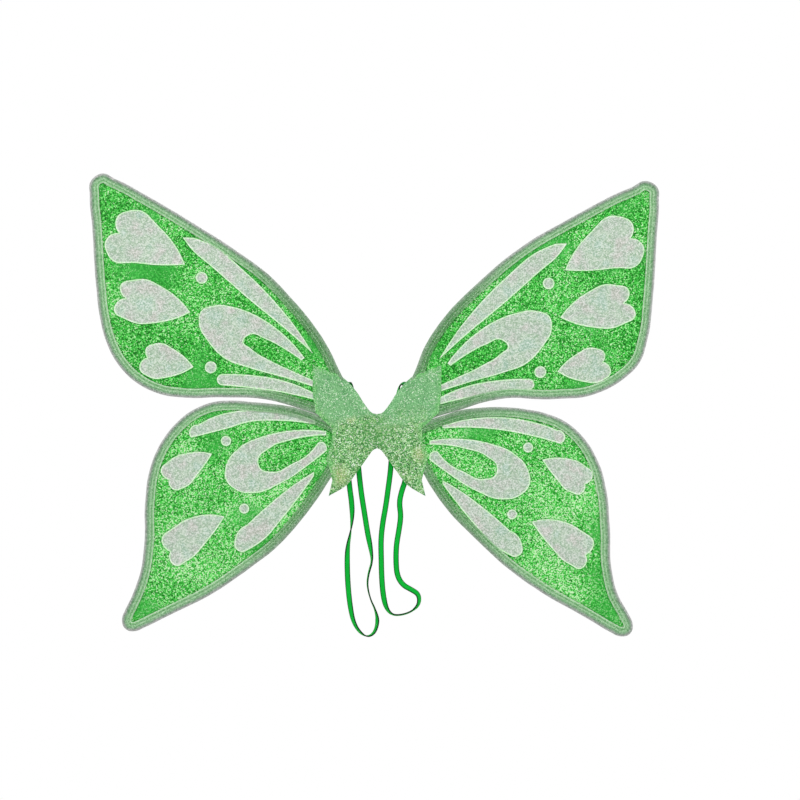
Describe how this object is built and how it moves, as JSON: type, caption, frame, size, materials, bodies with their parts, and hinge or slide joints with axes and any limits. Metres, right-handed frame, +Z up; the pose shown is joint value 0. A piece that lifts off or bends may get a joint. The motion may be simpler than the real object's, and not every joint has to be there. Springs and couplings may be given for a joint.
{
  "type": "fairy wings",
  "caption": "Pair of costume wings: wire-framed glitter film upper and lower wings with heart windows, a glitter cloth centre and elastic arm straps.",
  "frame": {"origin": "middle of the raised flat on the back of the centre, which rests on the wearer's back", "axes": "+Z up as worn, +X to the right seen from behind the wearer, +Y towards the wearer's back; the display side faces -Y"},
  "size_m": [0.5224, 0.0249, 0.4279],
  "materials": {
    "pearl_film": "pale pearly film with a faint rainbow sheen",
    "green_glitter_film": "green holographic glitter layer, fine sparkling cells",
    "edge_binding": "translucent pale green shimmer tape folded over the wire",
    "frame_wire": "bendable galvanised steel wire",
    "stitch_thread": "pale mint sewing thread",
    "cover_glitter_cloth": "glitter cloth, satin green above, chunky gold and silver green below",
    "back_cloth": "plain green felt",
    "stiffener_card": "thin plastic card",
    "wrap_tape": "adhesive tape",
    "green_elastic": "woven flat elastic, bright green"
  },
  "bodies": {
    "upper_right_wing": {"upper_right_frame_wire": "frame_wire", "upper_right_edge_binding": "edge_binding", "upper_right_pearl_film": "pearl_film", "upper_right_front_glitter_film": "green_glitter_film", "upper_right_back_glitter_film": "green_glitter_film", "upper_right_edge_stitching": "stitch_thread", "upper_right_front_cover_arm": "cover_glitter_cloth", "upper_right_back_cover_arm": "back_cloth"},
    "upper_left_wing": {"upper_left_frame_wire": "frame_wire", "upper_left_edge_binding": "edge_binding", "upper_left_pearl_film": "pearl_film", "upper_left_front_glitter_film": "green_glitter_film", "upper_left_back_glitter_film": "green_glitter_film", "upper_left_edge_stitching": "stitch_thread", "upper_left_front_cover_arm": "cover_glitter_cloth", "upper_left_back_cover_arm": "back_cloth"},
    "lower_right_wing": {"lower_right_frame_wire": "frame_wire", "lower_right_edge_binding": "edge_binding", "lower_right_pearl_film": "pearl_film", "lower_right_front_glitter_film": "green_glitter_film", "lower_right_back_glitter_film": "green_glitter_film", "lower_right_edge_stitching": "stitch_thread", "lower_right_front_cover_arm": "cover_glitter_cloth", "lower_right_back_cover_arm": "back_cloth"},
    "lower_left_wing": {"lower_left_frame_wire": "frame_wire", "lower_left_edge_binding": "edge_binding", "lower_left_pearl_film": "pearl_film", "lower_left_front_glitter_film": "green_glitter_film", "lower_left_back_glitter_film": "green_glitter_film", "lower_left_edge_stitching": "stitch_thread", "lower_left_front_cover_arm": "cover_glitter_cloth", "lower_left_back_cover_arm": "back_cloth"},
    "centre": {"front_cover_centre": "cover_glitter_cloth", "back_cover_centre": "back_cloth", "stiffener_board": "stiffener_card", "upper_wire_centre": "frame_wire", "lower_wire_centre": "frame_wire", "wire_wrap_tape": "wrap_tape", "strap_end_upper_left": "green_elastic", "strap_end_upper_right": "green_elastic", "strap_end_lower_left": "green_elastic", "strap_end_lower_right": "green_elastic", "strap_bar_tacks": "stitch_thread"},
    "left_strap": {"left_strap_elastic": "green_elastic"},
    "right_strap": {"right_strap_elastic": "green_elastic"}
  },
  "joints": [
    {"name": "upper_right_wing_fold", "type": "hinge", "parent": "centre", "child": "upper_right_wing", "pos_m": [0.03, -0.0039, 0.048], "axis": [0.0793, 0, -0.9969], "range_deg": [-30, 85]},
    {"name": "upper_left_wing_fold", "type": "hinge", "parent": "centre", "child": "upper_left_wing", "pos_m": [-0.03, -0.0039, 0.048], "axis": [0.0793, 0, 0.9969], "range_deg": [-30, 85]},
    {"name": "lower_right_wing_fold", "type": "hinge", "parent": "centre", "child": "lower_right_wing", "pos_m": [0.03, -0.0039, 0.048], "axis": [0.0793, 0, -0.9969], "range_deg": [-30, 85]},
    {"name": "lower_left_wing_fold", "type": "hinge", "parent": "centre", "child": "lower_left_wing", "pos_m": [-0.03, -0.0039, 0.048], "axis": [0.0793, 0, 0.9969], "range_deg": [-30, 85]},
    {"name": "left_strap_swing", "type": "hinge", "parent": "centre", "child": "left_strap", "pos_m": [-0.0265, 0.0032, 0.033], "axis": [0, 0, 1], "range_deg": [0, 90]},
    {"name": "right_strap_swing", "type": "hinge", "parent": "centre", "child": "right_strap", "pos_m": [0.0265, 0.0032, 0.033], "axis": [0, 0, -1], "range_deg": [0, 90]}
  ]
}
